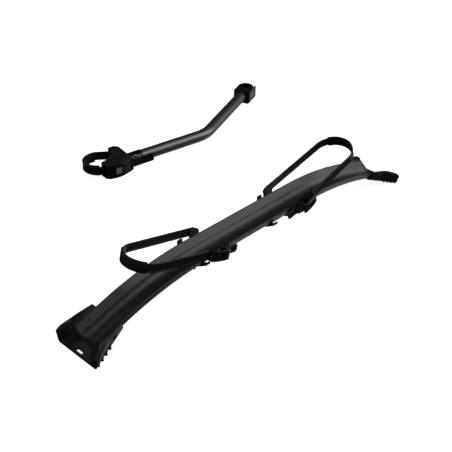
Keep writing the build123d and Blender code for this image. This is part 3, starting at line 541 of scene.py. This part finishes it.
RUNG_PROFILE = ((0.0, RUNG_FOOT), (0.5, RUNG_TOP), (1.5, RUNG_TOP), (3.2, RUNG_FOOT))


def strap_section(run, total):
    """Two rails and a thinner web, narrowing at the rounded tail."""
    half = rounded_end(run, total, STRAP_HALF, TAIL_ROUND, 0)
    rail = half - min(RAIL, half * 0.45)
    web = rail - RAIL_SLOPE
    t = STRAP_THICK
    c = STRAP_EDGE
    return [(t - c, -half), (t, c - half), (t, -rail), (WEB_OUT, -web),
            (WEB_OUT, web), (t, rail), (t, half - c), (t - c, half),
            (c - t, half), (-t, half - c), (-t, rail), (-WEB_IN, web),
            (-WEB_IN, -web), (-t, -rail), (-t, c - half), (c - t, -half)]


def eye_plate(y, half_thick, radius, hole, reach):
    """The far end of a strap: a flat eye with a round end, a pin hole and a raised rim round it."""
    rows = []
    corner = math.atan2(radius, reach)
    angles = [2 * math.pi * i / EYE_SIDES for i in range(EYE_SIDES)] + [corner, 2 * math.pi - corner]
    for a in sorted(angles):
        x, z = math.cos(a), math.sin(a)
        far = radius
        if x > 0:
            far = min(reach / x, radius / abs(z) if abs(z) > 1e-6 else 1e9)
        rim = min(hole + EYE_RIM, far - EYE_CUT)
        dish = EYE_DISH - half_thick
        rows.append([(x * r, y + k, z * r) for r, k in (
            (hole, -half_thick), (rim - EYE_CUT, -half_thick), (rim, dish), (far - 0.3, dish),
            (far, dish + 0.4), (far, half_thick - EYE_CUT), (far - EYE_CUT, half_thick), (hole, half_thick))])
    verts, faces = [], []
    count = len(rows[0])
    for i, row in enumerate(rows):
        verts += row
        m = (i + 1) % len(rows)
        for j in range(count):
            k = (j + 1) % count
            faces.append((i * count + j, i * count + k, m * count + k, m * count + j))
    return verts, faces


def ladder_strap(side, place):
    """The loop from its free tail, round the far end, to the eye on the other side of the tray."""
    path = [(TAIL_X, -PIVOT_Y)]
    line_to(path, (TAIL_X + TAIL_ROUND, -PIVOT_Y), 1.0)
    line_to(path, (KNEE_X, -PIVOT_Y), 4.0)
    line_to(path, (LOOP_X, -LOOP_R), 6.0)
    arc_to(path, (LOOP_X, 0), LOOP_R, -90, 90, 3.0)
    line_to(path, (EYE_JOIN, PIVOT_Y - 0.1), 6.0)
    body = swept(path, strap_section)
    line = traced(path)
    arc_start = KNEE_X - TAIL_X + math.dist((KNEE_X, -PIVOT_Y), (LOOP_X, -LOOP_R))
    for i in range(1, math.ceil((arc_start + RUNG_PAST) / RUNG_PITCH)):
        profile = [(i * RUNG_PITCH + along, off) for along, off in RUNG_PROFILE]
        merge(body, rung(line, profile, STRAP_HALF - RAIL + 0.1))
    merge(body, eye_plate(PIVOT_Y, STRAP_THICK, STRAP_HALF, EYE_HOLE, EYE_JOIN + 0.4))
    piece("ladder_strap_" + side, place, *body, STRAP_PLASTIC, "wheel_strap_" + side)


# ---------------------------------------------------------------- rim sleeves
SLEEVE_SWEEP = 52.0          # degrees to each side of the loop's far end
SLEEVE_HALF = 15.3
SLEEVE_THICK = 3.05          # half, between the ribs
SLEEVE_CORNER = 1.5
LIP_LENGTH = 4.0
SLEEVE_RIB = 0.08            # half the ribs' height
SLEEVE_PITCH = 3.6


def sleeve_section(run, total):
    """Ribbed rubber sleeve with a thicker lip at each end."""
    lip = max(0.0, 1 - min(run, total - run) / LIP_LENGTH)
    rib = 0.0 if lip else SLEEVE_RIB * (1 + math.cos(2 * math.pi * run / SLEEVE_PITCH))
    return rounded_box(SLEEVE_THICK + 0.3 * lip + rib, SLEEVE_HALF + 0.15 * lip, SLEEVE_CORNER)


def rim_sleeve(side, place):
    """The sleeve round the far end of a wheel strap's loop."""
    arc = ((LOOP_X, 0), LOOP_R, -SLEEVE_SWEEP, SLEEVE_SWEEP)
    lining("rim_sleeve_" + side, place, arc, sleeve_section, 0.0, "rim_pad_" + side, 0.6)


# ---------------------------------------------------------------- springs of the buckles' pawls
BUCKLE_SPRINGS = (("drive", 1.9, 2.45, 0.45), ("hold", 2.0, 2.85, 0.5))   # half length, radius, wire


def buckle_springs(side, place):
    """A spring round the pin of each pawl."""
    for kind, half, radius, wire in BUCKLE_SPRINGS:
        spring = coil(pin_at(place, f"{kind}_pawl_{side}"), -half, half, radius, wire)
        piece(f"{kind}_coil_{side}", place, *spring, SPRING_WIRE, f"{kind}_spring_{side}")


for side, sign in SIDES:
    strap_place = strap_frame(sign)
    ladder_strap(side, strap_place)
    rim_sleeve(side, strap_place)
    buckle_springs(side, strap_place)

# ---------------------------------------------------------------- frame strap of the arm's head
HEAD_LOOP = (-123.4, 33.3)   # centre of the loop
BAND_R = 49.0
BAND_FROM = 60.0             # angles where the band meets the loop and leaves it
BAND_TO = 262.6
BAND_MID = 24.5              # height of its middle above the floor
BAND_HALF = 15.0
BAND_THICK = 2.0             # half
BEAD = 1.6                   # height of the rounded edges
BEAD_ANGLES = (0.5, 1.0, 1.57, 2.14, 2.64)
GROOVE_EDGE = 3.0            # from the band's edge to the shallow groove of its outer face
GROOVE_SLOPE = 0.5
GROOVE_DEPTH = 0.9
BAND_END_ROUND = 4.0
ANCHOR = (-65.0, 56.0)       # pin of the band's fixed end
ANCHOR_R = 3.8
ANCHOR_WALL = 1.2            # half
BEND_U = -42.0               # where the free tail becomes straight
TAIL_U = 46.0
TAIL_V = -26.9
TOOTH_COUNT = 9
TOOTH_PITCH = 7.6
TOOTH_FROM_END = 4.5
# A tooth's outline: distance back from its end, and off the band.
TOOTH = ((3.9, 1.0), (3.5, 2.5), (3.0, 2.8), (0.9, 2.8), (0.4, 2.5), (0.0, 1.0))


def band_section(run, total):
    """A flat strap with a shallow groove along its outer face and rounded edges."""
    half = rounded_end(run, total, BAND_HALF, 0, BAND_END_ROUND)
    t = BAND_THICK
    edge = half - BEAD
    rail = half - GROOVE_EDGE
    groove = rail - GROOVE_SLOPE
    bed = t - GROOVE_DEPTH
    outer = [(t, -edge), (t, -rail), (bed, -groove), (bed, groove), (t, rail), (t, edge)]
    bead = [(t * math.cos(a), edge + BEAD * math.sin(a)) for a in BEAD_ANGLES]
    foot = [(k, -w) for k, w in reversed(bead)]
    return outer + bead + [(-t, edge), (-t, -edge)] + foot


def frame_band(place):
    """The loop round a frame tube, from its pinned eye to the toothed tail beside the neck."""
    path = [ANCHOR]
    line_to(path, polar(HEAD_LOOP, BAND_R, BAND_FROM), 6.0)
    arc_to(path, HEAD_LOOP, BAND_R, BAND_FROM, BAND_TO, 2.0)
    line_to(path, (BEND_U, TAIL_V), 5.0)
    line_to(path, (TAIL_U - BAND_END_ROUND, TAIL_V), 4.0)
    line_to(path, (TAIL_U, TAIL_V), 0.8)
    band = swept(path, band_section, BAND_MID)
    line = traced(path)
    for i in range(TOOTH_COUNT):
        end = line[-1][2] - TOOTH_FROM_END - TOOTH_PITCH * i
        merge(band, rung(line, [(end - back, off) for back, off in TOOTH], BAND_HALF - 1.4, BAND_MID))
    eye = []
    arc_to(eye, ANCHOR, ANCHOR_R, 0, 359, 1.0)
    merge(band, swept(eye + eye[:1], flat_section(ANCHOR_WALL, BAND_HALF), BAND_MID))
    piece("frame_band", place, *band, BAND_PLASTIC, "frame_strap")


# ---------------------------------------------------------------- linings and spring of the arm's head
# The lining is shown thicker than its CAD node, and enters one corner of the opening frame_tube_loop.
LINING_THICK = 5.4
LINING_SEAT = 46.9           # radius of its smooth side, just inside the band
LINING_ARC = (HEAD_LOOP, LINING_SEAT - LINING_THICK / 2, 78, 246)
CRADLE_ARC = ((-143.0, 69.0), 71.45, -73.2, -14.8)
CRADLE_MID = 24.0
HEAD_SPRING_HALF = 2.1
HEAD_SPRING_R = 2.75
HEAD_SPRING_WIRE = 0.5


def head_spring(place):
    """The spring round the pin of the head lever's pawl."""
    low = BAND_MID - HEAD_SPRING_HALF
    high = BAND_MID + HEAD_SPRING_HALF
    spring = coil(pin_at(place, "head_pawl"), low, high, HEAD_SPRING_R, HEAD_SPRING_WIRE)
    piece("head_coil", place, *spring, SPRING_WIRE, "head_pawl_spring")


head_place = arm_frame()
frame_band(head_place)
loop_ribs = ribbed(LINING_THICK, 17.0, 1.0, 4.0, corner=1.2)
cradle_ribs = ribbed(2.9, 19.0, 0.9, 4.2)
lining("loop_lining", head_place, LINING_ARC, loop_ribs, BAND_MID, "strap_liner")
lining("cradle_lining", head_place, CRADLE_ARC, cradle_ribs, CRADLE_MID, "cradle_pad")
head_spring(head_place)

# ---------------------------------------------------------------- clamp linings
CLAMP_LINING_R = 20.95
CLAMP_MID = 23.5
clamp_place = clamp_frame()
clamp_ribs = ribbed(0.9, 23.4, 0.5, 2.6, corner=0.3)
for half, start in (("body", 120), ("jaw", -60)):
    arc = ((0, 0), CLAMP_LINING_R, start, start + 120)
    lining("clamp_lining_" + half, clamp_place, arc, clamp_ribs, CLAMP_MID, "clamp_liner_" + half, 0.25)

# ---------------------------------------------------------------- floor and backdrop
STAGE = 60.0                 # half the floor's side, and the dome's radius
PAPER = (0.8, 0.8, 0.8)
PAPER_GLOW = 0.9
paper_mat, _, paper_bsdf = shader("floor_paper", PAPER, 0.9)
paper_bsdf.inputs["Specular IOR Level"].default_value = 0.0
paper_bsdf.inputs["Emission Color"].default_value = (1, 1, 1, 1)
paper_bsdf.inputs["Emission Strength"].default_value = PAPER_GLOW


def stage_object(name, mesh):
    """A paper surface that the camera alone sees, because some of the lamps stand below the floor."""
    mesh.materials.append(paper_mat)
    paper = bpy.data.objects.new(name, mesh)
    scene.collection.objects.link(paper)
    paper.visible_glossy = False
    paper.visible_diffuse = False
    paper.visible_shadow = False
    return paper


floor_mesh = bpy.data.meshes.new("floor")
floor_mesh.from_pydata([(-STAGE, -STAGE, 0), (STAGE, -STAGE, 0), (STAGE, STAGE, 0), (-STAGE, STAGE, 0)], [],
                       [(0, 1, 2, 3)])
floor = stage_object("floor", floor_mesh)
dome_mesh = bpy.data.meshes.new("backdrop")
bm = bmesh.new()
bmesh.ops.create_uvsphere(bm, u_segments=48, v_segments=24, radius=STAGE)
bm.to_mesh(dome_mesh)
bm.free()
backdrop = stage_object("backdrop", dome_mesh)

# ---------------------------------------------------------------- light
WORLD_GLOW = 0.03
LAMP_AIM = Vector((0, 0, 0.1))
world = bpy.data.worlds.new("studio")
scene.world = world
world.use_nodes = True
world.node_tree.nodes["Background"].inputs["Color"].default_value = (1, 1, 1, 1)
world.node_tree.nodes["Background"].inputs["Strength"].default_value = WORLD_GLOW


def softbox(name, toward, distance, width, height, power):
    """A rectangular lamp of that many watts, that way from the object and facing it."""
    data = bpy.data.lights.new(name, "AREA")
    data.shape = "RECTANGLE"
    data.size = width
    data.size_y = height
    data.energy = power
    obj = bpy.data.objects.new(name, data)
    scene.collection.objects.link(obj)
    obj.location = LAMP_AIM + Vector(toward).normalized() * distance
    obj.rotation_mode = "QUATERNION"
    obj.rotation_quaternion = (LAMP_AIM - obj.location).to_track_quat("-Z", "Y")


# The key lamp is what the tray's level middle reflects, and the top lamp what its arched left end does.
softbox("key", (0.66, -0.56, 0.50), 4.0, 3.0, 1.8, 62)
softbox("top", (0.16, -0.52, 0.84), 4.0, 1.8, 1.8, 48)
softbox("end", (0.90, -0.46, 0.16), 4.0, 1.4, 1.6, 24)
# These two stand below the floor: for the tray's flange, and for the clamp's lever.
softbox("floor_glow", (0.70, -0.10, -0.70), 4.0, 2.4, 1.6, 16)
softbox("low_right", (0.92, 0.08, -0.40), 4.2, 1.6, 1.4, 3.5)
# Fill for the views from the other sides.
softbox("front", (-0.6, -0.7, 0.45), 4.5, 2.5, 2.0, 4)
softbox("rear", (-0.45, 0.75, 0.50), 4.0, 2.8, 2.0, 36)
softbox("left", (-0.90, 0.05, 0.42), 4.0, 2.0, 2.0, 7)

scene.view_settings.view_transform = "Standard"
